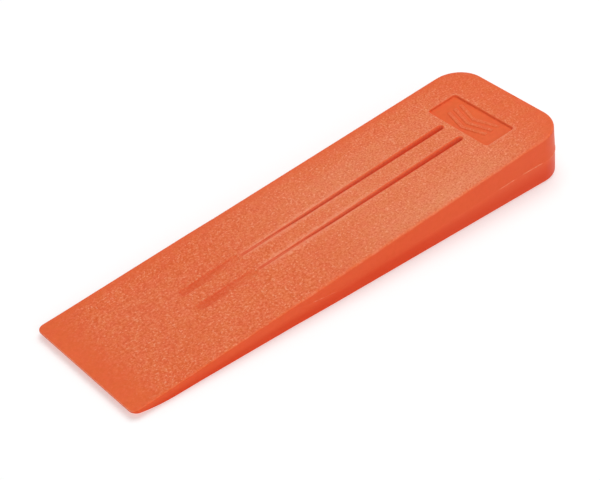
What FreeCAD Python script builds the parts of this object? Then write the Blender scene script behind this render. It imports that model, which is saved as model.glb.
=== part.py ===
import FreeCAD, Part
import math
import os

from FreeCAD import Placement, Rotation, Vector

# Felling wedge: one solid plastic moulding that is driven into a saw cut.
#
# It is drawn in the moulding frame: the mid-plane between the two driving faces is z = 0, the striking
# face is at x = 0 and the tip is at x = LENGTH. It is then tilted so that the lower driving face lies
# flat on z = 0, which is how the wedge rests, with the origin under the middle of its box.
# +X runs from the striking face to the tip, +Y across the width and +Z up. Millimetres and degrees.

# Body
LENGTH = 250.0
WIDTH = 74.0                # along the edges of the driving faces
HEAD_THICKNESS = 25.9
WEDGE_ANGLE = 5.03          # between the two driving faces
TIP_THICKNESS = 1.1         # the tip edge is blunt
NOSE_LENGTH = 22.0          # the underside curves up to the tip over this length
SIDE_DRAFT = 1.5            # the sides lean outwards from each driving face to the parting line
HEAD_CORNER_RADIUS = 15.3
TIP_CORNER_RADIUS = 3.5
EDGE_RADIUS = 1.0           # round the outline of each driving face

# Raised line along the joint between the two halves of the mould. It fades out half-way to the tip.
PARTING_LINE_PROUD = 0.25
PARTING_LINE_HEIGHT = 0.7
PARTING_LINE_END = 158.0

# Rectangular pocket in the upper face, close to the head
POCKET_START = 18.2         # from the striking face
POCKET_LENGTH = 17.3
POCKET_WIDTH = 40.2
POCKET_DEPTH = 1.2
POCKET_CORNER_RADIUS = 0.9
POCKET_DRAFT = 8.0          # all its sizes are at the floor

# Nested raised chevrons on the pocket's floor, which point towards the tip
CHEVRON_COUNT = 3
CHEVRON_PITCH = 3.8         # along the wedge
CHEVRON_HALF_SPAN = 13.0    # across the wedge, from the point to the end of an arm
CHEVRON_RISE = 3.6          # along the wedge, from the end of an arm to the point
CHEVRON_ARM = 1.9           # thickness of an arm, measured along the wedge
CHEVRON_HEIGHT = 0.5

# Two long grooves in each driving face. Their floors are parallel to the mid-plane and their walls
# slope, so they are deepest and widest at the head and taper away towards the tip.
GROOVE_START = 39.6
GROOVE_FLOOR = 5.96         # height of the floor above the mid-plane
GROOVE_OFFSET = 6.5         # from the centre line to each groove's own centre line
GROOVE_FLOOR_WIDTH = 0.9
GROOVE_DRAFT = 10.0
GROOVE_END_ROUNDING = 0.98  # end radius as a share of the half-width, just short of a full round

# Beyond each groove, in line with it, a shallow recess with a smooth floor
RECESS_START = 161.8
RECESS_LENGTH = 31.6
RECESS_WIDTH = 4.0
RECESS_DEPTH = 0.35
RECESS_CORNER_RADIUS = 1.0
RECESS_DRAFT = 35.0

HALF_ANGLE = WEDGE_ANGLE / 2
HALF_SLOPE = math.tan(math.radians(HALF_ANGLE))
TOOL_HEIGHT = 16.0          # clears the thickest half of the wedge
TOOL_MARGIN = 5.0           # overhang of a cutting or trimming shape


def half_thickness(x):
    """Height of the upper driving face above the mid-plane."""
    return HEAD_THICKNESS / 2 - HALF_SLOPE * x


def closed_face(points):
    return Part.Face(Part.makePolygon(points + points[:1]))


def extruded_across(face):
    """A face that lies in the x-z plane, extruded over more than the full width."""
    span = WIDTH + 2 * TOOL_MARGIN
    face.translate(Vector(0, -span / 2, 0))
    return face.extrude(Vector(0, span, 0))


def rounded_rectangle(x_low, x_high, half_width, radius_low, radius_high, z):
    """A closed outline with one corner radius at its low x end and another at its high x end."""
    low = x_low + radius_low
    high = x_high - radius_high
    corners = [
        (Vector(low, -half_width + radius_low, z), radius_low, 180.0),
        (Vector(high, -half_width + radius_high, z), radius_high, 270.0),
        (Vector(high, half_width - radius_high, z), radius_high, 0.0),
        (Vector(low, half_width - radius_low, z), radius_low, 90.0),
    ]
    arcs = []
    for centre, radius, start in corners:
        turns = [math.radians(start + step) for step in (0.0, 45.0, 90.0)]
        points = [centre + Vector(radius * math.cos(turn), radius * math.sin(turn), 0) for turn in turns]
        arcs.append(Part.Arc(*points).toShape())
    edges = []
    for arc, following in zip(arcs, arcs[1:] + arcs[:1]):
        edges.append(arc)
        edges.append(Part.LineSegment(arc.lastVertex().Point, following.firstVertex().Point).toShape())
    return Part.Wire(edges)


def lofted(outlines):
    """A solid between outlines, with each of its flat sides rebuilt on a true plane."""
    faces = []
    for face in Part.makeLoft(outlines, True, True).Faces:
        if face.findPlane() and not isinstance(face.Surface, Part.Plane):
            face = closed_face([vertex.Point for vertex in face.OuterWire.OrderedVertexes])
        faces.append(face)
    shell = Part.makeShell(faces)
    shell.sewShape()
    return Part.makeSolid(shell)


def on_upper_face(shape):
    """Moves a shape drawn on z = 0, with x measured along the face from the head, onto the upper face."""
    shape.Placement = Placement(Vector(0, 0, half_thickness(0)), Rotation(Vector(0, 1, 0), HALF_ANGLE))
    return shape


def mirrored_blank(height, grown=0.0):
    """The plain wedge, up to a height either side of the mid-plane and grown evenly all round its outline.

    Both ends are square to the mid-plane. The sides lean outwards from the driving faces.
    """
    outlines = []
    for depth in (0, TOOL_HEIGHT):
        shift = depth * HALF_SLOPE
        half_width = WIDTH / 2 + depth * math.tan(math.radians(SIDE_DRAFT))
        face_length = LENGTH / math.cos(math.radians(HALF_ANGLE))
        outlines.append(rounded_rectangle(
            shift - grown, face_length + shift + grown, half_width + grown,
            HEAD_CORNER_RADIUS + grown, TIP_CORNER_RADIUS + grown, -depth))
    upper = on_upper_face(lofted(outlines))
    upper = upper.common(Part.makeBox(2 * LENGTH, 2 * WIDTH, height, Vector(-LENGTH / 2, -WIDTH, 0)))
    return upper.fuse(upper.mirror(Vector(0, 0, 0), Vector(0, 0, 1))).removeSplitter()


def parting_line():
    """A low band round the outline at the mid-plane, from the head to part-way along the sides."""
    band = mirrored_blank(PARTING_LINE_HEIGHT / 2, PARTING_LINE_PROUD)
    end = Part.makeBox(LENGTH, 2 * WIDTH, 2 * TOOL_HEIGHT, Vector(PARTING_LINE_END, -WIDTH, -TOOL_HEIGHT))
    return band.cut(end)


def edges_round_driving_faces(shape):
    """Every edge that has all of its length on one of the two driving faces."""
    chosen = []
    for edge in shape.Edges:
        samples = edge.discretize(5)
        if all(abs(abs(point.z) - half_thickness(point.x)) < 1e-3 for point in samples):
            chosen.append(edge)
    return chosen


def nose_tool():
    """What is cut from the underside: an arc leaves the lower face smoothly and rises to the tip."""
    start_x = LENGTH - NOSE_LENGTH
    start = Vector(start_x, 0, -half_thickness(start_x))
    end = Vector(LENGTH, 0, half_thickness(LENGTH) - TIP_THICKNESS)
    normal = Vector(-HALF_SLOPE, 0, 1).normalize()
    chord = end - start
    radius = chord.dot(chord) / (2 * chord.dot(normal))
    centre = start + normal * radius
    middle = centre + ((start + end) / 2 - centre).normalize() * radius
    corners = [
        end,
        end + Vector(TOOL_MARGIN, 0, 0),
        Vector(LENGTH + TOOL_MARGIN, 0, -TOOL_HEIGHT),
        Vector(start_x, 0, -TOOL_HEIGHT),
        start,
    ]
    edges = [Part.Arc(start, middle, end).toShape()]
    edges += [Part.LineSegment(a, b).toShape() for a, b in zip(corners, corners[1:])]
    return extruded_across(Part.Face(Part.Wire(edges)))


def groove_tool(y, side):
    """A slot that widens away from its floor. Side is 1 for the upper driving face and -1 for the lower."""
    outlines = []
    for height in (GROOVE_FLOOR, TOOL_HEIGHT):
        half_width = GROOVE_FLOOR_WIDTH / 2 + (height - GROOVE_FLOOR) * math.tan(math.radians(GROOVE_DRAFT))
        end_radius = half_width * GROOVE_END_ROUNDING
        grown = half_width - GROOVE_FLOOR_WIDTH / 2
        outline = rounded_rectangle(
            GROOVE_START - grown, LENGTH + TOOL_MARGIN, half_width, end_radius, end_radius, side * height)
        outline.translate(Vector(0, y, 0))
        outlines.append(outline)
    return lofted(outlines)


def sunk_rectangle(start, length, width, depth, corner_radius, draft, y=0.0):
    """What is cut for a rectangular recess in the upper face. Its sizes are those of its floor."""
    outlines = []
    for z in (-depth, TOOL_MARGIN):
        grown = (z + depth) * math.tan(math.radians(draft))
        radius = corner_radius + grown
        outline = rounded_rectangle(
            start - grown, start + length + grown, width / 2 + grown, radius, radius, z)
        outline.translate(Vector(0, y, 0))
        outlines.append(outline)
    return on_upper_face(lofted(outlines))


def pocket_tool():
    return sunk_rectangle(
        POCKET_START, POCKET_LENGTH, POCKET_WIDTH, POCKET_DEPTH, POCKET_CORNER_RADIUS, POCKET_DRAFT)


def recess_tool(y, side):
    """The shallow recess in line with one groove. Side is 1 for the upper face and -1 for the lower."""
    tool = sunk_rectangle(
        RECESS_START, RECESS_LENGTH, RECESS_WIDTH, RECESS_DEPTH, RECESS_CORNER_RADIUS, RECESS_DRAFT, y)
    return tool if side > 0 else tool.mirror(Vector(0, 0, 0), Vector(0, 0, 1))


def chevrons():
    """Nested raised chevrons in the pocket. They start below its floor so that they join the body."""
    base = -POCKET_DEPTH - CHEVRON_HEIGHT
    middle_x = POCKET_START + POCKET_LENGTH / 2
    prisms = []
    for number in range(CHEVRON_COUNT):
        x = middle_x + (number - (CHEVRON_COUNT - 1) / 2) * CHEVRON_PITCH
        point_x = x + (CHEVRON_RISE + CHEVRON_ARM) / 2
        arm_x = point_x - CHEVRON_RISE
        corners = [
            Vector(point_x, 0, base),
            Vector(arm_x, CHEVRON_HALF_SPAN, base),
            Vector(arm_x - CHEVRON_ARM, CHEVRON_HALF_SPAN, base),
            Vector(point_x - CHEVRON_ARM, 0, base),
            Vector(arm_x - CHEVRON_ARM, -CHEVRON_HALF_SPAN, base),
            Vector(arm_x, -CHEVRON_HALF_SPAN, base),
        ]
        prisms.append(closed_face(corners).extrude(Vector(0, 0, 2 * CHEVRON_HEIGHT)))
    return on_upper_face(Part.makeCompound(prisms))


def laid_flat(shape):
    """Tilts the wedge onto its lower face and puts the origin under the middle of its box."""
    resting = shape.copy()
    resting.rotate(Vector(0, 0, 0), Vector(0, 1, 0), HALF_ANGLE)
    box = resting.optimalBoundingBox(False)
    resting.translate(Vector(-box.Center.x, -box.Center.y, -box.ZMin))
    return resting


body = mirrored_blank(TOOL_HEIGHT)
body = body.makeFillet(EDGE_RADIUS, edges_round_driving_faces(body))
body = body.fuse(parting_line()).cut(nose_tool())
for side in (1, -1):
    for y in (-GROOVE_OFFSET, GROOVE_OFFSET):
        body = body.cut(groove_tool(y, side))
        body = body.cut(recess_tool(y, side))
body = body.cut(pocket_tool())
body = body.fuse(chevrons().Solids)
body = laid_flat(body.removeSplitter())

os.makedirs("parts", exist_ok=True)
body.Solids[0].exportStep("parts/wedge_body.step")
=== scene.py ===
import math

import bmesh
import bpy
from mathutils import Matrix, Quaternion, Vector
from mathutils.geometry import delaunay_2d_cdt


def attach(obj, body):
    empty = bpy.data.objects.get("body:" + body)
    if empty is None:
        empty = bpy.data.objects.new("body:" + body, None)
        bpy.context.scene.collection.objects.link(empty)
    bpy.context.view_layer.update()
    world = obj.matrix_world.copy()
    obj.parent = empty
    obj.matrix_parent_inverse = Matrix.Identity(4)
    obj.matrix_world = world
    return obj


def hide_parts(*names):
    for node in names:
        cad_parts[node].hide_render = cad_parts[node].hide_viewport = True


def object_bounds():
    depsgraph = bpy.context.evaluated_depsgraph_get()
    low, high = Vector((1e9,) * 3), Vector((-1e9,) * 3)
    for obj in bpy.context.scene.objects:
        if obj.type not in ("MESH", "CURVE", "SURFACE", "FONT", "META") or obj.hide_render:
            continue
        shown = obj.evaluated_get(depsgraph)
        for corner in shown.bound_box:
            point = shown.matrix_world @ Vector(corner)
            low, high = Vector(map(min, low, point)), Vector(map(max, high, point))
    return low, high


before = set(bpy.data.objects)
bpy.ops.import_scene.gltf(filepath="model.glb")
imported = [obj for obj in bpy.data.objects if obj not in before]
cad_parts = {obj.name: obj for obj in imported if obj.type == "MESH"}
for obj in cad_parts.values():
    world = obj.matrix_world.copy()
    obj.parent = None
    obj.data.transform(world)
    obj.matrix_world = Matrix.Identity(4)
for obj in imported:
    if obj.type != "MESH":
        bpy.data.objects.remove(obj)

cad_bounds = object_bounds()

# The wedge is shaped in the moulding frame, in millimetres: the mid-plane between the two driving faces
# is z = 0, x runs from the striking face to the tip, and y runs across.
MM = 0.001
HALF_ANGLE = math.radians(2.515)
HALF_SLOPE = math.tan(HALF_ANGLE)
HEAD_HALF_THICKNESS = 12.95
LENGTH = 249.93
HALF_WIDTH = 37.0               # along the edges of the driving faces
HEAD_CORNER_RADIUS = 15.3
TIP_CORNER_RADIUS = 3.5
TIP_THICKNESS = 1.1
NOSE_START = 228.0              # the underside curves up to the tip from here
SIDE_DRAFT = math.tan(math.radians(1.5))
UPPER_EDGE_RADIUS = ((0, 1.2), (150, 1.2), (168, 0.75), (236, 0.65), (250, 0.4))
LOWER_EDGE_RADIUS = ((0, 1.1), (215, 1.0), (236, 0.5), (250, 0.3))
OUTLINE_SPACING = 1.6
CORNER_STEPS = 14
FILLET_STEPS = 5
WALL_STEPS = 3
FACE_SPACING = 2.2              # between the inner points of a driving face
FACE_CLEARANCE = 1.2            # from those points to an edge
ALL_TRIANGLES = 0               # the triangulation's output type
MERGE_DISTANCE = 1e-7

# From the middle of the wedge's box back to its striking face, in the row frame
HEAD_OFFSET = 124.6406

# The line where the two halves of the mould met. It runs half-way up the sides, then steps up to just below
# the upper edge, and a thin uneven line of flash stands on it.
PARTING_HEIGHT = ((0, -0.3), (13, -0.3), (18, 0.1), (30, 0.5), (46, 0.3), (60, 0.0), (140, -0.3),
                  (158, 2.3), (165, 5.1))
PARTING_DROP = 0.65             # below the upper edge, beyond the step
FLASH_HEIGHT = ((0, 0.22), (8, 0.2), (14, 0.05), (17, 0.06), (19, 0.22), (28, 0.2), (31, 0.03), (34, 0.04),
                (36, 0.22), (43, 0.2), (46, 0.02), (139, 0.02), (143, 0.09), (153, 0.10), (161, 0.02),
                (250, 0.02))
FLASH_LIMIT = 0.22
FLASH_HALF_WIDTH = 0.34
FLASH_WALL_SHARE = 0.3          # the most of a side's height that half the flash takes
FLASH_MARGIN = 1.05             # how far the flash keeps from the rounded edges, in half-widths
FLASH_WAVES = ((0.25, 2.1, 0), (0.2, 5.3, 1))   # strength, and radians per mm along and across the wedge
FLASH_SECTION = (               # place in half-widths, share of the height, and slope
    (1.0, 0.0, 0.1), (0.5, 0.7, 0.8), (0.0, 1.0, 0.0), (-0.5, 0.7, -0.8), (-1.0, 0.0, -0.1))
FLASH_STEEPNESS = 2.2
FLASH_HIGHLIGHT_FROM = 0.08          # lower flash than this gets no painted highlight
FLASH_PAINTED_HIGHLIGHT = 9.0

# Grooves
GROOVE_OFFSETS = (-6.5, 6.5)
GROOVE_START = 39.6
GROOVE_FLOOR = 5.96             # height of the floor from the mid-plane
GROOVE_END = (HEAD_HALF_THICKNESS - GROOVE_FLOOR) / HALF_SLOPE
GROOVE_HALF_WIDTH = 0.45        # at the floor
GROOVE_DRAFT = math.tan(math.radians(10.0))
GROOVE_SHOULDER = 0.65          # radius along the rim
GROOVE_SHOULDER_DEGREES = (0, 25, 50, 70, 80)
GROOVE_ROOT = 0.3               # radius along the floor
GROOVE_ROOT_DEGREES = (80, 60, 40, 20, 0)
GROOVE_SPACING = 1.8
GROOVE_TURN_STEPS = 10

# The shallow recess beyond each groove
RECESS_X = (161.8, 193.4)
RECESS_HALF_WIDTH = 2.0         # at the floor
RECESS_DEPTH = 0.35
RECESS_SLOPE = 0.5              # width of its sloping rim
RECESS_STEPS = 5
RECESS_RADIUS = 1.0

# Pocket and the raised chevrons in it
POCKET_X = (18.2, 35.5)
POCKET_HALF_WIDTH = 20.1
POCKET_DEPTH = 1.2
POCKET_RADIUS = 1.3
POCKET_DRAFT = math.tan(math.radians(8.0))
POCKET_SHOULDER = 0.45          # radius along the rim
POCKET_SHOULDER_DEGREES = (0, 30, 60, 82)
POCKET_ROOT = 0.3               # radius along the floor
POCKET_ROOT_DEGREES = (82, 55, 28, 0)
CHEVRON_X = (23.05, 26.85, 30.65)
CHEVRON_HALF_SPAN = 13.0
CHEVRON_RISE = 3.6
CHEVRON_ARM = 1.9
CHEVRON_HEIGHT = 0.4
CHEVRON_CORNER = 0.45
CHEVRON_SECTION = (             # inset, height and slope in degrees, from the foot to the top
    (-0.3, 0.0, 0), (-0.08, 0.07, 40), (0.0, CHEVRON_HEIGHT / 2, 62), (0.1, CHEVRON_HEIGHT - 0.07, 40),
    (0.35, CHEVRON_HEIGHT, 0))
CHEVRON_GRAIN = 0.5

# Finish. Each table runs along the wedge, from the striking face to the tip. The near side is +y.
# The grain on a driving face fades out over these distances from its edges, its ends and one head corner.
GRAIN_LEAST = 0.12
NEAR_EDGE_FADE = (-2.5, 0.8)
FAR_EDGE_FADE = (1.0, 7.0)
TIP_FADE = (5, 22)
HEAD_FADE = (0.8, 4)
HEAD_SLOW_FADE = (8, 36)
HEAD_FADE_SHARE = 0.55          # the slow fade has the rest
CORNER_FADE = (8, 22)
CORNER_SLANT = 0.8

# How coarse the grain is
COARSENESS = ((0, 0.0), (60, 0.15), (110, 0.5), (150, 1.0), (250, 1.0))

# The painted sheen on the grain, and what the strips along the two edges and the far half add to it
PAINTED_SHEEN_ALONG = ((0, 0.0), (10, 0.1), (25, 0.55), (42, 0.95), (75, 1.06), (100, 1.02), (125, 0.70), (150, 0.42),
         (175, 0.34), (205, 0.3), (228, 0.2), (250, 0.1))
PAINTED_SHEEN_STRENGTH = 0.575
PAINTED_SHEEN_NEAR_EDGE = ((8, 0.0), (30, 0.12), (50, 0.43), (80, 0.34), (100, 0.3), (130, 0.06), (175, -0.06),
                   (200, 0.0), (225, -0.12), (245, 0.0))
PAINTED_SHEEN_FAR_EDGE = ((8, -0.03), (25, -0.12), (50, -0.33), (100, -0.33), (125, -0.08), (150, -0.05),
                  (175, -0.22), (228, -0.22), (245, -0.04))
PAINTED_SHEEN_FAR_HALF = ((60, 0.0), (80, 0.09), (100, 0.13), (120, 0.05), (150, 0.06), (175, -0.08), (200, 0.0))
NEAR_EDGE_STRIP = (16, 34)      # where each strip fades in, from the middle of the wedge outwards
FAR_EDGE_STRIP = (18, 28)
FAR_HALF_STRIP = (5, 12)
FAR_HALF_END = (18, 26)         # and where this one fades out again

# A side's colour carries painted shade, by the share set below, and the most painted shade below this height.
# The points of the upper rounded edge whose normal has a z of LOOKS_UP or more are left out.
LOW_PAINTED_SHADE = ((0, -3.0), (60, -2.0), (120, 0.0), (250, 0.8))
LOW_PAINTED_SHADE_FADE = (-1.5, 3.0)
SIDE_PAINTED_SHADE = 0.5
LOOKS_UP = 0.6

# The rounded upper edge gets a painted highlight between these distances from the tip.
TIP_HIGHLIGHT = (1.5, 0.3)

# Inside a groove: how much shade is painted, how much highlight is painted on its rim and light on its walls,
# how much painted glow lightens it
GROOVE_PAINTED_SHADE = ((38, 0.0), (115, 0.0), (130, 0.15), (145, 0.5), (160, 0.65))
GROOVE_RIM_HIGHLIGHT = ((38, 0.15), (85, 0.25), (108, 0.8), (150, 0.9), (160, 0.4))
GROOVE_RIM_HIGHLIGHT_SHARES = (1.0, 0.6, 0.3)     # row by row, down from the rim
GROOVE_WALL_PAINTED_LIGHT = ((38, 0.42), (60, 0.46), (85, 0.55), (108, 0.66), (130, 0.55), (145, 0.42), (160, 0.2))
GROOVE_PAINTED_GLOW = ((38, 0.75), (70, 0.65), (100, 0.25), (125, 0.0))
GROOVE_INNER_ROW = 2            # the painted shade and the painted glow begin at this row

# How strongly the recess's smoother, deeper colour shows along its two long sides. It begins as a painted
# shade line along the far side.
RECESS_FAR_SIDE_AND_SHADE = ((162, 0.7), (172, 1.1), (186, 1.1), (193, 0.9))
RECESS_NEAR_SIDE = ((162, 0.05), (172, 0.3), (180, 0.75), (186, 1.0), (193, 0.9))
RECESS_SMOOTHNESS = 0.55
RECESS_COLOUR_AND_SHADE_DEPTH = 0.75

# Painted light on the pocket's rim and walls
POCKET_PAINTED_LIGHT = (0.5, 0.9, 0.5, 0.4, 0.3, 0.2, 0.0, 0.0)   # row by row, down from the rim
POCKET_PAINTED_LIGHT_LEAST = 0.2          # the share of it on the pocket's sides away from the near edge

TOP_NORMAL = Vector((HALF_SLOPE, 0, 1)).normalized()
BOTTOM_NORMAL = Vector((HALF_SLOPE, 0, -1)).normalized()


def half_thickness(x):
    return HEAD_HALF_THICKNESS - HALF_SLOPE * x


def smooth_step(value, low, high):
    t = min(max((value - low) / (high - low), 0.0), 1.0)
    return t * t * (3 - 2 * t)


def interpolate(table, x):
    """Straight-line interpolation in a table of (x, value)."""
    for (x0, v0), (x1, v1) in zip(table, table[1:]):
        if x <= x1:
            return v0 + (v1 - v0) * min(max((x - x0) / (x1 - x0), 0.0), 1.0)
    return table[-1][1]


def nose_circle():
    """The centre and radius of the arc that leaves the lower face at NOSE_START and ends at the tip."""
    start = Vector((NOSE_START, -half_thickness(NOSE_START)))
    end = Vector((LENGTH, half_thickness(LENGTH) - TIP_THICKNESS))
    inward = Vector((-HALF_SLOPE, 1)).normalized()
    chord = end - start
    radius = chord.length_squared / (2 * chord.dot(inward))
    return start + inward * radius, radius


NOSE_CENTRE, NOSE_RADIUS = nose_circle()


def bottom_height(x):
    """Height of the lower driving face, and of the nose beyond it."""
    if x < NOSE_START:
        return -half_thickness(x)
    reach = min(x - NOSE_CENTRE.x, NOSE_RADIUS)
    return NOSE_CENTRE.y - math.sqrt(NOSE_RADIUS ** 2 - reach ** 2)


def bottom_normal(x):
    if x < NOSE_START:
        return BOTTOM_NORMAL
    return Vector((x - NOSE_CENTRE.x, 0, bottom_height(x) - NOSE_CENTRE.y)).normalized()


def parting_height(x):
    below_edge = half_thickness(x) - PARTING_DROP
    if x < PARTING_HEIGHT[-1][0]:
        return min(interpolate(PARTING_HEIGHT, x), below_edge)
    return below_edge


def side_growth(x, z):
    """How far a side stands out past the edge of the upper driving face, at height z."""
    joint = parting_height(x)
    if z >= joint:
        return (half_thickness(x) - z) * SIDE_DRAFT
    return (half_thickness(x) - joint) * SIDE_DRAFT - (joint - z) * SIDE_DRAFT


def rectangle(low_x, high_x, low_y, high_y):
    """The corners of a rectangle, taken to the left."""
    return [Vector(corner) for corner in ((low_x, low_y), (high_x, low_y), (high_x, high_y), (low_x, high_y))]


def rounded_outline(corners, radii, spacing, steps):
    """Points and outward normals round a polygon with rounded corners, which are taken to the left."""
    arcs = []
    for i, corner in enumerate(corners):
        before = (corner - corners[i - 1]).normalized()
        after = (corners[(i + 1) % len(corners)] - corner).normalized()
        turn = math.atan2(before.cross(after), before.dot(after))
        reach = radii[i] * math.tan(abs(turn) / 2)
        normal = Vector((before.y, -before.x))
        side = 1 if turn > 0 else -1
        centre = corner - before * reach - normal * radii[i] * side
        arc = []
        for step in range(steps + 1):
            angle = turn * step / steps
            direction = Matrix.Rotation(angle, 2) @ normal
            arc.append((centre + direction * radii[i] * side, direction))
        arcs.append(arc)
    outline = []
    for arc, following in zip(arcs, arcs[1:] + arcs[:1]):
        outline += arc
        start, normal = arc[-1]
        end = following[0][0]
        count = max(int((end - start).length / spacing), 1)
        outline += [(start.lerp(end, k / count), normal) for k in range(1, count)]
    return outline


class Surface:
    """One closed mesh, built from rings of points. Each point has its own normal and finish.

    The finish is grain (how grained the surface is), edge (how exposed to wear), the painted light on rims,
    groove and pocket walls, the flash and the tip's edge, depth (how deep the colour is: painted shade, and
    the recesses' own deeper colour) and glow (how much painted glow lightens the colour), each 0 unless it is
    given.
    """

    def __init__(self):
        self.points = []
        self.normals = []
        self.finish = {name: [] for name in ("grain", "edge", "lip", "depth", "glow")}
        self.faces = []

    def add(self, point, normal, **finish):
        self.points.append(point)
        self.normals.append(normal.normalized())
        for name, values in self.finish.items():
            values.append(finish.get(name, 0.0))
        return len(self.points) - 1

    def strip(self, first, second, closed=True):
        """Quads between two rows of the same length."""
        count = len(first)
        for i in range(count if closed else count - 1):
            j = (i + 1) % count
            self.faces.append((first[i], first[j], second[j], second[i]))

    def skin(self, rows, closed=True):
        """Strips between each row and the next."""
        for first, second in zip(rows, rows[1:]):
            self.strip(first, second, closed)

    def fill(self, outer, holes=(), inner=()):
        """Triangles inside the outer ring and outside the holes, through the inner points."""
        rings = [outer, *holes]
        used = [index for ring in rings for index in ring] + list(inner)
        flat = [self.points[index].to_2d() for index in used]
        loops = []
        start = 0
        for ring in rings:
            loops.append(list(range(start, start + len(ring))))
            start += len(ring)
        _, _, faces, originals, _, owners = delaunay_2d_cdt(flat, [], loops, ALL_TRIANGLES, MERGE_DISTANCE)
        for face, owner in zip(faces, owners):
            if owner == [0]:
                self.faces.append(tuple(used[originals[corner][0]] for corner in face))

    def plan(self, ring):
        """The points of a ring, seen from above."""
        return [self.points[index].to_2d() for index in ring]


def inside(point, ring):
    """True if a plan point is inside a ring of plan points."""
    hit = False
    for a, b in zip(ring, ring[1:] + ring[:1]):
        if (a.y > point.y) != (b.y > point.y):
            crossing = a.x + (point.y - a.y) * (b.x - a.x) / (b.y - a.y)
            hit = hit != (point.x < crossing)
    return hit


def grid_points(ring, holes, spacing, clearance):
    """A staggered grid of plan points inside the ring, clear of it and of the holes."""
    cells = {}
    for point in [point for loop in [ring, *holes] for point in loop]:
        cells.setdefault((int(point.x // clearance), int(point.y // clearance)), []).append(point)
    low_x, high_x = min(p.x for p in ring), max(p.x for p in ring)
    low_y, high_y = min(p.y for p in ring), max(p.y for p in ring)
    found = []
    for i in range(1, int((high_x - low_x) / spacing) + 1):
        for j in range(1, int((high_y - low_y) / spacing) + 1):
            point = Vector((low_x + i * spacing, low_y + (j + 0.5 * (i % 2)) * spacing))
            cell = (int(point.x // clearance), int(point.y // clearance))
            near = [other for a in (-1, 0, 1) for b in (-1, 0, 1)
                    for other in cells.get((cell[0] + a, cell[1] + b), ())]
            if any((point - other).length < clearance for other in near):
                continue
            if inside(point, ring) and not any(inside(point, hole) for hole in holes):
                found.append(point)
    return found


def face_grain(x, y):
    """How strongly a driving face is grained."""
    border = smooth_step(HALF_WIDTH + y, *FAR_EDGE_FADE) * smooth_step(HALF_WIDTH - y, *NEAR_EDGE_FADE)
    head = (HEAD_FADE_SHARE * smooth_step(x, *HEAD_FADE)
            + (1 - HEAD_FADE_SHARE) * smooth_step(x, *HEAD_SLOW_FADE))
    ends = smooth_step(LENGTH - x, *TIP_FADE) * head
    corner = smooth_step(x + CORNER_SLANT * (HALF_WIDTH - y), *CORNER_FADE)
    return GRAIN_LEAST + (1 - GRAIN_LEAST) * ends * border * corner


def painted_sheen(x, y):
    """How strong the painted sheen on the grain is."""
    far_half = smooth_step(-y, *FAR_HALF_STRIP) * (1 - smooth_step(-y, *FAR_HALF_END))
    return (PAINTED_SHEEN_STRENGTH * interpolate(PAINTED_SHEEN_ALONG, x)
            + smooth_step(y, *NEAR_EDGE_STRIP) * interpolate(PAINTED_SHEEN_NEAR_EDGE, x)
            + smooth_step(-y, *FAR_EDGE_STRIP) * interpolate(PAINTED_SHEEN_FAR_EDGE, x)
            + far_half * interpolate(PAINTED_SHEEN_FAR_HALF, x))


def side_painted_shade(x, z, direction):
    """How much shade is painted at a point of the outline."""
    if direction.z >= LOOKS_UP:
        return 0.0
    return SIDE_PAINTED_SHADE + (1 - SIDE_PAINTED_SHADE) * smooth_step(interpolate(LOW_PAINTED_SHADE, x) - z, *LOW_PAINTED_SHADE_FADE)


surface = Surface()


def upper_edge_rows(point, out, lean):
    """The rounded edge of the upper driving face, as (outward offset, height, normal, finish) row by row."""
    x = point.x
    radius = interpolate(UPPER_EDGE_RADIUS, x)
    # Near the tip the rounded upper edge gets a painted highlight
    tip = smooth_step(x, *(LENGTH - distance for distance in TIP_HIGHLIGHT))
    wall_normal = out + Vector((0, 0, SIDE_DRAFT * lean))
    rows = []
    for step in range(FILLET_STEPS + 1):
        angle = math.pi / 2 * step / FILLET_STEPS
        drop = radius * (1 - math.cos(angle))
        rows.append((drop * SIDE_DRAFT * lean - radius * (1 - math.sin(angle)), half_thickness(x) - drop,
                     TOP_NORMAL * math.cos(angle) + wall_normal * math.sin(angle),
                     {"grain": face_grain(x, point.y) * (1 - step / FILLET_STEPS),
                      "edge": math.sin(2 * angle), "lip": tip * math.sin(angle)}))
    return rows


def lower_edge_rows(point, out, lean):
    """The rounded edge of the lower driving face and of the nose, in the same form."""
    x = point.x
    radius = interpolate(LOWER_EDGE_RADIUS, x)
    bottom = bottom_height(x)
    wall_normal = out - Vector((0, 0, SIDE_DRAFT * lean))
    rows = []
    for step in range(FILLET_STEPS + 1):
        angle = math.pi / 2 * (1 - step / FILLET_STEPS)
        z = bottom + radius * (1 - math.cos(angle))
        rows.append((side_growth(x, z) * lean - radius * (1 - math.sin(angle)), z,
                     bottom_normal(x) * math.cos(angle) + wall_normal * math.sin(angle),
                     {"grain": face_grain(x, point.y) * (1 - math.sin(angle)), "edge": math.sin(2 * angle)}))
    return rows


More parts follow.
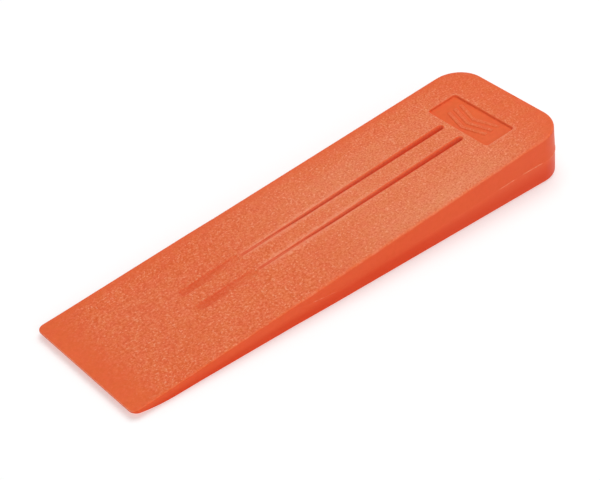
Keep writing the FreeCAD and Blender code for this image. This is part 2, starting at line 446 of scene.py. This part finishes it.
def wall_rows(point, out, lean):
    """The side between the two rounded edges, with its flash, in the same form."""
    x = point.x
    high = half_thickness(x) - interpolate(UPPER_EDGE_RADIUS, x)
    low = bottom_height(x) + interpolate(LOWER_EDGE_RADIUS, x)
    draft = Vector((0, 0, SIDE_DRAFT * lean))
    flash_half = min(FLASH_HALF_WIDTH, FLASH_WALL_SHARE * (high - low))
    margin = flash_half * FLASH_MARGIN
    joint = min(max(parting_height(x), low + margin), high - margin)
    rows = []
    for step in range(1, WALL_STEPS):
        z = high + (joint + flash_half - high) * step / WALL_STEPS
        rows.append((side_growth(x, z) * lean, z, out + draft, {}))
    unevenness = 1.0 + sum(strength * math.sin(x * along + point.y * across)
                           for strength, along, across in FLASH_WAVES)
    flash = min(interpolate(FLASH_HEIGHT, x) * unevenness, FLASH_LIMIT)
    for place, share, tilt in FLASH_SECTION:
        z = joint + place * flash_half
        steepness = tilt * flash / FLASH_HALF_WIDTH * FLASH_STEEPNESS
        # Higher flash gets a painted highlight
        rows.append((side_growth(x, z) * lean + flash * share, z, out + Vector((0, 0, steepness)),
                     {"lip": share * max(flash - FLASH_HIGHLIGHT_FROM, 0.0) * FLASH_PAINTED_HIGHLIGHT}))
    for step in range(1, WALL_STEPS):
        z = joint - flash_half + (low - joint + flash_half) * step / WALL_STEPS
        rows.append((side_growth(x, z) * lean, z, out - draft, {}))
    return rows


def outline_column(point, normal):
    """The surface points below one point of the outline, from the upper driving face to the lower one."""
    sides = (point, normal.to_3d(), abs(normal.y))
    top = half_thickness(point.x)
    bottom = bottom_height(point.x)
    column = []
    for offset, z, direction, finish in upper_edge_rows(*sides) + wall_rows(*sides) + lower_edge_rows(*sides):
        place = point + normal * offset
        # The wedge tapers, so a point that is offset along it moves with the faces above and below.
        share = (z - bottom) / (top - bottom)
        shift = ((half_thickness(place.x) - top) * share
                 + (bottom_height(min(place.x, LENGTH)) - bottom) * (1 - share))
        column.append(surface.add(Vector((place.x, place.y, z + shift)), direction,
                                  depth=side_painted_shade(point.x, z, direction), **finish))
    return column


outline = rounded_outline(
    rectangle(0, LENGTH, -HALF_WIDTH, HALF_WIDTH),
    [HEAD_CORNER_RADIUS, TIP_CORNER_RADIUS, TIP_CORNER_RADIUS, HEAD_CORNER_RADIUS],
    OUTLINE_SPACING, CORNER_STEPS)
rings = [list(ring) for ring in zip(*(outline_column(point, normal) for point, normal in outline))]
surface.skin(rings)


def mirrored(x, y, z, side):
    """A vector of the upper half, or its mirror image in the mid-plane when side is -1."""
    return Vector((x, y, side * z))


def groove_path():
    """From a groove's run-out along one side, round its head end and back: each place and the way outward."""
    head_x = GROOVE_START + GROOVE_HALF_WIDTH
    count = int((GROOVE_END - head_x) / GROOVE_SPACING)
    stations = [head_x + (GROOVE_END - head_x) * k / count for k in range(count + 1)]
    path = [(x, Vector((0, 1))) for x in reversed(stations)]
    for step in range(1, GROOVE_TURN_STEPS):
        path.append((head_x, Matrix.Rotation(math.pi * step / GROOVE_TURN_STEPS, 2) @ Vector((0, 1))))
    return path + [(x, Vector((0, -1))) for x in stations]


def groove_section(x):
    """Half a groove's section, from rim to floor, as (reach, drop, angle), and how full its roundings are."""
    depth = half_thickness(x) - GROOVE_FLOOR
    full_depth = GROOVE_SHOULDER + GROOVE_ROOT
    fullness = min(depth / full_depth, 1.0)
    opening = GROOVE_HALF_WIDTH + depth * GROOVE_DRAFT
    foot = opening - max(depth - full_depth, 0.0) * GROOVE_DRAFT
    levels = []
    for angle in map(math.radians, GROOVE_SHOULDER_DEGREES):
        levels.append((opening + GROOVE_SHOULDER * (1 - math.sin(angle)),
                       GROOVE_SHOULDER * (1 - math.cos(angle)) * fullness, angle))
    for angle in map(math.radians, GROOVE_ROOT_DEGREES):
        levels.append((foot - GROOVE_ROOT * (1 - math.sin(angle)),
                       depth - GROOVE_ROOT * (1 - math.cos(angle)) * fullness, angle))
    return levels, fullness


def groove_finish(x, number):
    """The finish of one row of a groove, counted down from its rim, with its painted light, shade and glow.
    """
    if number < len(GROOVE_RIM_HIGHLIGHT_SHARES):
        lip = GROOVE_RIM_HIGHLIGHT_SHARES[number] * interpolate(GROOVE_RIM_HIGHLIGHT, x)
    else:
        lip = interpolate(GROOVE_WALL_PAINTED_LIGHT, x)
    if number < GROOVE_INNER_ROW:
        return {"grain": 1.0 if number == 0 else 0.0, "lip": lip}
    return {"lip": lip, "depth": interpolate(GROOVE_PAINTED_SHADE, x), "glow": interpolate(GROOVE_PAINTED_GLOW, x)}


def cut_groove(centre_y, side):
    """One groove, in the upper face when side is 1 and in the lower when it is -1. Returns its rim."""
    columns = []
    for x, outward in groove_path():
        levels, fullness = groove_section(x)
        column = []
        for number, (reach, drop, angle) in enumerate(levels):
            place = Vector((x, centre_y)) + outward * reach
            if number < len(GROOVE_SHOULDER_DEGREES):
                z = half_thickness(place.x) - drop
                level_normal = TOP_NORMAL
            else:
                z = max(half_thickness(place.x) - drop, GROOVE_FLOOR)
                level_normal = Vector((HALF_SLOPE * (1 - fullness), 0, 1))
            direction = level_normal * math.cos(angle) - outward.to_3d() * math.sin(angle) * fullness
            column.append(surface.add(mirrored(place.x, place.y, z, side), mirrored(*direction, side),
                                      **groove_finish(x, number)))
        columns.append(column)
    rows = [list(row) for row in zip(*columns)]
    surface.skin(rows, closed=False)
    # The floor, between the innermost rows of the two sides and round the head end.
    surface.fill(rows[-1])
    # The rim runs along the outer row and straight across the run-out.
    return rows[0] + columns[-1][1:] + columns[0][:0:-1]


def cut_recess(centre_y, side):
    """The shallow smooth recess beyond one groove. Returns its rim."""
    corners = rectangle(*RECESS_X, centre_y - RECESS_HALF_WIDTH, centre_y + RECESS_HALF_WIDTH)
    ring = rounded_outline(corners, [RECESS_RADIUS] * 4, spacing=1.6, steps=5)
    rows = []
    for step in range(RECESS_STEPS + 1):
        share = step / RECESS_STEPS
        drop = RECESS_DEPTH * (1 - math.cos(math.pi * share)) / 2
        lean = RECESS_DEPTH * math.pi * math.sin(math.pi * share) / (2 * RECESS_SLOPE)
        row = []
        for point, normal in ring:
            place = point + normal * RECESS_SLOPE * (1 - share)
            direction = TOP_NORMAL - normal.to_3d() * lean
            far = (1 - normal.y) / 2
            # The recess's own deeper colour, with painted shade along the far side where it begins
            strength = share * (far * interpolate(RECESS_FAR_SIDE_AND_SHADE, place.x)
                                + (1 - far) * interpolate(RECESS_NEAR_SIDE, place.x))
            row.append(surface.add(mirrored(place.x, place.y, half_thickness(place.x) - drop, side),
                                   mirrored(*direction, side), grain=1 - RECESS_SMOOTHNESS * strength,
                                   depth=RECESS_COLOUR_AND_SHADE_DEPTH * strength))
        rows.append(row)
    surface.skin(rows)
    surface.fill(rows[-1])
    return rows[0]


def pocket_section():
    """The pocket's wall, from rim to floor, as (inset, drop, angle)."""
    wall = POCKET_DEPTH - POCKET_SHOULDER - POCKET_ROOT
    levels = []
    for angle in map(math.radians, POCKET_SHOULDER_DEGREES):
        levels.append((-POCKET_SHOULDER * (1 - math.sin(angle)),
                       POCKET_SHOULDER * (1 - math.cos(angle)), angle))
    for angle in map(math.radians, POCKET_ROOT_DEGREES):
        levels.append((wall * POCKET_DRAFT + POCKET_ROOT * (1 - math.sin(angle)),
                       POCKET_DEPTH - POCKET_ROOT * (1 - math.cos(angle)), angle))
    return levels


def cut_pocket():
    """The pocket in the upper face with its chevrons. Returns its rim. Light is painted on its rim and walls,
    most on the near side.
    """
    corners = rectangle(*POCKET_X, -POCKET_HALF_WIDTH, POCKET_HALF_WIDTH)
    ring = rounded_outline(corners, [POCKET_RADIUS] * 4, spacing=1.5, steps=6)
    rows = []
    for number, (inset, drop, angle) in enumerate(pocket_section()):
        row = []
        for point, normal in ring:
            place = point - normal * inset
            direction = TOP_NORMAL * math.cos(angle) - normal.to_3d() * math.sin(angle)
            # Painted light, strongest where the rim and walls face the near side
            facing = POCKET_PAINTED_LIGHT_LEAST + (1 - POCKET_PAINTED_LIGHT_LEAST) * max(normal.y, 0.0)
            row.append(surface.add(Vector((place.x, place.y, half_thickness(place.x) - drop)), direction,
                                   grain=1.0 if number == 0 else 0.0,
                                   lip=POCKET_PAINTED_LIGHT[number] * facing))
        rows.append(row)
    surface.skin(rows)
    feet = [raise_chevron(x) for x in CHEVRON_X]
    surface.fill(rows[-1], feet)
    return rows[0]


def raise_chevron(x):
    """One chevron on the pocket's floor, pointing to the tip. Returns the ring round its foot."""
    point_x = x + (CHEVRON_RISE + CHEVRON_ARM) / 2
    arm_x = point_x - CHEVRON_RISE
    corners = [
        Vector((point_x, 0)),
        Vector((arm_x, CHEVRON_HALF_SPAN)),
        Vector((arm_x - CHEVRON_ARM, CHEVRON_HALF_SPAN)),
        Vector((point_x - CHEVRON_ARM, 0)),
        Vector((arm_x - CHEVRON_ARM, -CHEVRON_HALF_SPAN)),
        Vector((arm_x, -CHEVRON_HALF_SPAN)),
    ]
    ring = rounded_outline(corners, [CHEVRON_CORNER] * 6, spacing=1.2, steps=5)
    rows = []
    for inset, rise, degrees in CHEVRON_SECTION:
        angle = math.radians(degrees)
        row = []
        for point, normal in ring:
            place = point - normal * inset
            direction = TOP_NORMAL * math.cos(angle) + normal.to_3d() * math.sin(angle)
            z = half_thickness(place.x) - POCKET_DEPTH + rise
            row.append(surface.add(Vector((place.x, place.y, z)), direction,
                                   grain=CHEVRON_GRAIN * rise / CHEVRON_HEIGHT))
        rows.append(row)
    surface.skin(rows)
    surface.fill(rows[-1])
    return rows[0]


def fill_face(ring, holes, height, normal):
    """A driving face inside a ring of the outline. Height and normal are functions of x."""
    inner = []
    plan_holes = [surface.plan(hole) for hole in holes]
    for point in grid_points(surface.plan(ring), plan_holes, FACE_SPACING, FACE_CLEARANCE):
        inner.append(surface.add(Vector((point.x, point.y, height(point.x))), normal(point.x),
                                 grain=face_grain(point.x, point.y)))
    surface.fill(ring, holes, inner)


upper_holes = [cut(y, 1) for cut in (cut_groove, cut_recess) for y in GROOVE_OFFSETS] + [cut_pocket()]
fill_face(rings[0], upper_holes, half_thickness, lambda x: TOP_NORMAL)
lower_holes = [cut(y, -1) for cut in (cut_groove, cut_recess) for y in GROOVE_OFFSETS]
fill_face(rings[-1], lower_holes, bottom_height, bottom_normal)


def in_row_frame(vector):
    """A direction in the moulding frame, tilted so that the lower face lies flat."""
    return Vector((
        vector.x * math.cos(HALF_ANGLE) + vector.z * math.sin(HALF_ANGLE),
        vector.y,
        -vector.x * math.sin(HALF_ANGLE) + vector.z * math.cos(HALF_ANGLE)))


middle_x = (cad_bounds[0][0] + cad_bounds[1][0]) / 2
middle_y = (cad_bounds[0][1] + cad_bounds[1][1]) / 2
origin = Vector((middle_x - HEAD_OFFSET * MM, middle_y,
                 cad_bounds[0][2] + HEAD_HALF_THICKNESS * math.cos(HALF_ANGLE) * MM))

mesh = bpy.data.meshes.new("wedge_moulding")
mesh.from_pydata([origin + in_row_frame(point) * MM for point in surface.points], [], surface.faces)
editable = bmesh.new()
editable.from_mesh(mesh)
bmesh.ops.recalc_face_normals(editable, faces=editable.faces)
editable.to_mesh(mesh)
editable.free()
finishes = {
    **surface.finish,
    "painted_sheen": [painted_sheen(point.x, point.y) for point in surface.points],
    "coarseness": [interpolate(COARSENESS, point.x) for point in surface.points],
}
for name, values in finishes.items():
    mesh.attributes.new(name, "FLOAT", "POINT").data.foreach_set("value", values)
mesh.shade_smooth()
mesh.normals_split_custom_set_from_vertices([in_row_frame(normal) for normal in surface.normals])
wedge = bpy.data.objects.new("wedge_moulding", mesh)
bpy.context.scene.collection.objects.link(wedge)


class Nodes:
    """Shorthand for building one material's node tree. A value may be a constant or another node's output."""

    def __init__(self, material):
        material.use_nodes = True
        self.tree = material.node_tree
        self.tree.nodes.clear()

    def feed(self, socket, value):
        if isinstance(value, bpy.types.NodeSocket):
            self.tree.links.new(value, socket)
        else:
            socket.default_value = value

    def add(self, kind, **inputs):
        """A new node. An underscore in the name of an input stands for a space."""
        node = self.tree.nodes.new(kind)
        for name, value in inputs.items():
            self.feed(node.inputs[name.replace("_", " ")], value)
        return node

    def math(self, operation, first, second=0.0, clamp=False):
        node = self.tree.nodes.new("ShaderNodeMath")
        node.operation = operation
        node.use_clamp = clamp
        self.feed(node.inputs[0], first)
        self.feed(node.inputs[1], second)
        return node.outputs[0]

    def mix(self, factor, first, second):
        """A colour between two colours. A colour is (r, g, b) or another node's output."""
        node = self.tree.nodes.new("ShaderNodeMix")
        node.data_type = "RGBA"
        for socket, value in zip((node.inputs[0], node.inputs[6], node.inputs[7]), (factor, first, second)):
            self.feed(socket, (*value, 1.0) if isinstance(value, tuple) else value)
        return node.outputs[2]

    def spread(self, value, low, high, to_low=0.0, to_high=1.0):
        """A value mapped from one range to another, clamped."""
        node = self.tree.nodes.new("ShaderNodeMapRange")
        for socket, number in zip(node.inputs, (value, low, high, to_low, to_high)):
            self.feed(socket, number)
        return node.outputs[0]

    def noise(self, place, scale, detail, roughness):
        node = self.add("ShaderNodeTexNoise", Vector=place, Scale=scale, Detail=detail, Roughness=roughness)
        return node.outputs["Fac"]

    def attribute(self, name):
        node = self.tree.nodes.new("ShaderNodeAttribute")
        node.attribute_name = name
        return node.outputs["Fac"]


# Moulded plastic. The driving faces carry a fine grain, painted paler for the light it scatters, with painted
# sheen on it. The sides, the pocket and the recesses are smoother and deeper in colour, the sides and the
# recesses also from painted shade.
PLAIN_GRAIN = (0.82, 0.136, 0.037)
PAINTED_SHEEN_GRAIN = (0.82, 0.270, 0.126)
MOTTLE_PINK = (0.86, 0.160, 0.084)
MOTTLE_YELLOW = (0.79, 0.205, 0.052)
# Painted shade, painted sheen and painted glints of the grain's speckle
GRAIN_PAINTED_SHADE = (0.66, 0.076, 0.016)
GRAIN_PAINTED_SHEEN = (0.95, 0.37, 0.19)
GRAIN_PAINTED_GLINTS = (0.97, 0.42, 0.24)
SMOOTH_DARK = (0.80, 0.118, 0.030)
SMOOTH_LIGHT = (0.86, 0.136, 0.038)
# The colour of the painted glow that lightens the grooves
PAINTED_GLOW_COLOUR = (1.0, 0.13, 0.03)
# Painted shade for the sides and the grooves, and the recesses' deeper colour
SHADE_AND_DEEP_COLOUR = (0.69, 0.047, 0.004)
CLOUD_DARK = (0.70, 0.075, 0.022)
DRIFT_PALE = (0.88, 0.26, 0.14)
WORN_EDGE = (0.92, 0.34, 0.20)
PAINTED_RIM_LIGHT = (0.94, 0.36, 0.21)
MOTTLE_ON_GRAIN = 0.2
MOTTLE_ON_SMOOTH = 0.1
WEAR_STRENGTH = 0.28
GRAIN_ROUGHNESS = 0.22          # what the grain adds
GRAIN_BUMP = 0.75
SPARKLE_BUMP = 0.6

plastic = bpy.data.materials.new("orange_plastic")
nodes = Nodes(plastic)
place = nodes.add("ShaderNodeTexCoord").outputs["Object"]
grain_mask = nodes.attribute("grain")
coarseness = nodes.attribute("coarseness")

fine_grain = nodes.noise(place, scale=1250, detail=2, roughness=0.6)
coarse_grain = nodes.noise(place, scale=900, detail=3, roughness=0.7)
sparkle = nodes.noise(place, scale=950, detail=1, roughness=0.5)
haze = nodes.noise(place, scale=420, detail=2, roughness=0.6)
spots = nodes.noise(place, scale=170, detail=2, roughness=0.5)
scuffs = nodes.noise(place, scale=150, detail=4, roughness=0.7)
cloud = nodes.noise(place, scale=38, detail=3, roughness=0.55)
drift = nodes.noise(place, scale=9, detail=2, roughness=0.5)
fineness = nodes.math("SUBTRACT", 1.0, coarseness)
speckle = nodes.math("ADD", nodes.math("MULTIPLY", coarseness, coarse_grain),
                     nodes.math("MULTIPLY", fineness, fine_grain))

# The grained and the smooth surface
mottle = nodes.mix(nodes.spread(spots, 0.38, 0.62), MOTTLE_PINK, MOTTLE_YELLOW)
# Painted sheen: the grain turns paler where the sheen is painted strongest
grained = nodes.mix(nodes.attribute("painted_sheen"), PLAIN_GRAIN, PAINTED_SHEEN_GRAIN)
grained = nodes.mix(MOTTLE_ON_GRAIN, grained, mottle)
# The grain's speckle: painted shade in its pits, painted sheen on its peaks, and painted glints
grained = nodes.mix(nodes.spread(speckle, 0.36, 0.5, to_low=0.55, to_high=0.0), grained, GRAIN_PAINTED_SHADE)
grained = nodes.mix(nodes.spread(speckle, 0.5, 0.66, to_high=0.45), grained, GRAIN_PAINTED_SHEEN)
grained = nodes.mix(nodes.spread(sparkle, 0.60, 0.72, to_high=0.6), grained, GRAIN_PAINTED_GLINTS)
smooth = nodes.mix(nodes.spread(haze, 0.3, 0.7), SMOOTH_DARK, SMOOTH_LIGHT)
smooth = nodes.mix(MOTTLE_ON_SMOOTH, smooth, mottle)
# Painted glow: the grooves lightened towards the head
smooth = nodes.mix(nodes.attribute("glow"), smooth, PAINTED_GLOW_COLOUR)
# Painted shade on the sides and in the grooves, and the recesses' own deeper colour with painted shade along
# their far side
smooth = nodes.mix(nodes.attribute("depth"), smooth, SHADE_AND_DEEP_COLOUR)
colour = nodes.mix(grain_mask, smooth, grained)

# Slow changes of colour over the whole wedge, then worn edges, painted highlights on rims and painted light
# on walls
colour = nodes.mix(nodes.spread(cloud, 0.35, 0.65, to_high=0.12), colour, CLOUD_DARK)
colour = nodes.mix(nodes.spread(drift, 0.35, 0.65, to_high=0.06), colour, DRIFT_PALE)
worn = nodes.math("MULTIPLY", nodes.attribute("edge"), nodes.spread(scuffs, 0.48, 0.66), clamp=True)
colour = nodes.mix(nodes.math("MULTIPLY", worn, WEAR_STRENGTH), colour, WORN_EDGE)
# Painted highlights on rims, the flash and the tip's edge, and painted light on groove and pocket walls
rim_speckle = nodes.spread(speckle, 0.35, 0.6, to_low=0.35, to_high=0.75)
colour = nodes.mix(nodes.math("MULTIPLY", nodes.attribute("lip"), rim_speckle), colour, PAINTED_RIM_LIGHT)

roughness = nodes.math("ADD", nodes.math("MULTIPLY", grain_mask, GRAIN_ROUGHNESS),
                       nodes.spread(cloud, 0.3, 0.7, to_low=0.36, to_high=0.42))
roughness = nodes.math("ADD", roughness, nodes.spread(speckle, 0.3, 0.7, to_low=-0.03, to_high=0.05))

grain_bump = nodes.add("ShaderNodeBump", Distance=0.0001,
                       Strength=nodes.math("MULTIPLY", grain_mask, GRAIN_BUMP),
                       Height=nodes.math("ADD", speckle, nodes.math("MULTIPLY", sparkle, SPARKLE_BUMP)))
fine_bump = nodes.add("ShaderNodeBump", Distance=0.00005, Strength=0.16, Height=haze,
                      Normal=grain_bump.outputs["Normal"])

shader = nodes.add("ShaderNodeBsdfPrincipled", Base_Color=colour, Roughness=roughness,
                   Normal=fine_bump.outputs["Normal"])
shader.inputs["IOR"].default_value = 1.49
shader.inputs["Specular IOR Level"].default_value = 0.12
shader.inputs["Subsurface Weight"].default_value = 0.06
shader.inputs["Subsurface Radius"].default_value = (1.0, 0.25, 0.1)
shader.inputs["Subsurface Scale"].default_value = 0.0015
nodes.add("ShaderNodeOutputMaterial", Surface=shader.outputs["BSDF"])

mesh.materials.append(plastic)
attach(wedge, "root")
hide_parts("wedge_body")


# Studio: a pale round floor with a low swept-up rim, a large soft light overhead, and a weaker one at the
# camera's side. The floor glows more further out, so that it stays pale up to its rim.
FLOOR_GAP = 0.0001              # from the wedge's lower face down to the floor
FLOOR_RINGS = ((0.3, 0.40), (0.6, 0.46), (1.0, 0.72), (1.5, 0.90), (4.25, 0.95))   # radius and glow
RIM_RADIUS = 0.75
RIM_STEPS = 8
FLOOR_SEGMENTS = 96
PAPER_GREY = 0.68


def paper_material():
    paper = bpy.data.materials.new("paper")
    paper_nodes = Nodes(paper)
    shader = paper_nodes.add("ShaderNodeBsdfPrincipled", Emission_Color=paper_nodes.attribute("glow"))
    shader.inputs["Base Color"].default_value = (PAPER_GREY, PAPER_GREY, PAPER_GREY, 1)
    shader.inputs["Emission Strength"].default_value = 1.0
    shader.inputs["Roughness"].default_value = 0.9
    shader.inputs["Specular IOR Level"].default_value = 0.1
    paper_nodes.add("ShaderNodeOutputMaterial", Surface=shader.outputs["BSDF"])
    return paper


def studio_floor():
    level = cad_bounds[0][2] - FLOOR_GAP
    rings = [(radius, 0.0, glow) for radius, glow in FLOOR_RINGS]
    edge, edge_glow = FLOOR_RINGS[-1]
    for step in range(1, RIM_STEPS + 1):
        angle = math.pi / 2 * step / RIM_STEPS
        rings.append((edge + RIM_RADIUS * math.sin(angle), RIM_RADIUS * (1 - math.cos(angle)), edge_glow))
    points = [(0, 0, level)]
    glows = [rings[0][2]]
    for radius, height, glow in rings:
        for k in range(FLOOR_SEGMENTS):
            angle = 2 * math.pi * k / FLOOR_SEGMENTS
            points.append((radius * math.cos(angle), radius * math.sin(angle), level + height))
            glows.append(glow)
    faces = [(0, 1 + k, 1 + (k + 1) % FLOOR_SEGMENTS) for k in range(FLOOR_SEGMENTS)]
    for row in range(len(rings) - 1):
        inner = 1 + row * FLOOR_SEGMENTS
        outer = inner + FLOOR_SEGMENTS
        for k in range(FLOOR_SEGMENTS):
            after = (k + 1) % FLOOR_SEGMENTS
            faces.append((inner + k, outer + k, outer + after, inner + after))
    floor_mesh = bpy.data.meshes.new("studio_floor")
    floor_mesh.from_pydata(points, [], faces)
    floor_mesh.attributes.new("glow", "FLOAT", "POINT").data.foreach_set("value", glows)
    floor_mesh.shade_smooth()
    floor_mesh.materials.append(paper_material())
    floor = bpy.data.objects.new("studio_floor", floor_mesh)
    bpy.context.scene.collection.objects.link(floor)
    return floor


studio_floor()


def direction_from(azimuth, elevation):
    """A unit vector. Azimuth is from +X towards +Y and elevation is above the floor, in degrees."""
    turn = math.radians(azimuth)
    rise = math.radians(elevation)
    return Vector((math.cos(rise) * math.cos(turn), math.cos(rise) * math.sin(turn), math.sin(rise)))


def soft_light(name, azimuth, elevation, distance, size, power):
    """A rectangular light that shines at the middle of the wedge."""
    data = bpy.data.lights.new(name, "AREA")
    data.shape = "RECTANGLE"
    data.size, data.size_y = size
    data.energy = power
    light = bpy.data.objects.new(name, data)
    towards = direction_from(azimuth, elevation)
    middle_z = (cad_bounds[0][2] + cad_bounds[1][2]) / 2
    light.location = Vector((middle_x, middle_y, middle_z)) + towards * distance
    light.rotation_euler = towards.to_track_quat("Z", "Y").to_euler()
    bpy.context.scene.collection.objects.link(light)


soft_light("overhead", azimuth=205, elevation=72, distance=1.7, size=(1.3, 1.3), power=17.7)
soft_light("front_fill", azimuth=72, elevation=28, distance=1.5, size=(1.0, 0.7), power=4.9)

WORLD_STRENGTH = 0.33
world = bpy.data.worlds.new("studio")
world.use_nodes = True
background = world.node_tree.nodes["Background"]
background.inputs["Color"].default_value = (1, 1, 1, 1)
background.inputs["Strength"].default_value = WORLD_STRENGTH
bpy.context.scene.world = world
bpy.context.scene.view_settings.view_transform = "Standard"

# Camera, at the photograph's viewing angle
CAMERA_TARGET = Vector((0.00658, -0.00085, 0.008))
CAMERA_AZIMUTH = 54.333
CAMERA_ELEVATION = 37.636
CAMERA_ROLL = -5.310
CAMERA_DISTANCE = 0.8275
CAMERA_LENS = 110.67
CAMERA_SENSOR = 36.0
CAMERA_CLIP_START = 0.05

camera_data = bpy.data.cameras.new("camera")
camera_data.lens = CAMERA_LENS
camera_data.sensor_width = CAMERA_SENSOR
camera_data.clip_start = CAMERA_CLIP_START
camera = bpy.data.objects.new("camera", camera_data)
backwards = direction_from(CAMERA_AZIMUTH, CAMERA_ELEVATION)
camera.location = CAMERA_TARGET + backwards * CAMERA_DISTANCE
camera.rotation_mode = "QUATERNION"
camera.rotation_quaternion = (backwards.to_track_quat("Z", "Y")
                              @ Quaternion((0, 0, 1), math.radians(CAMERA_ROLL)))
bpy.context.scene.collection.objects.link(camera)
bpy.context.scene.camera = camera
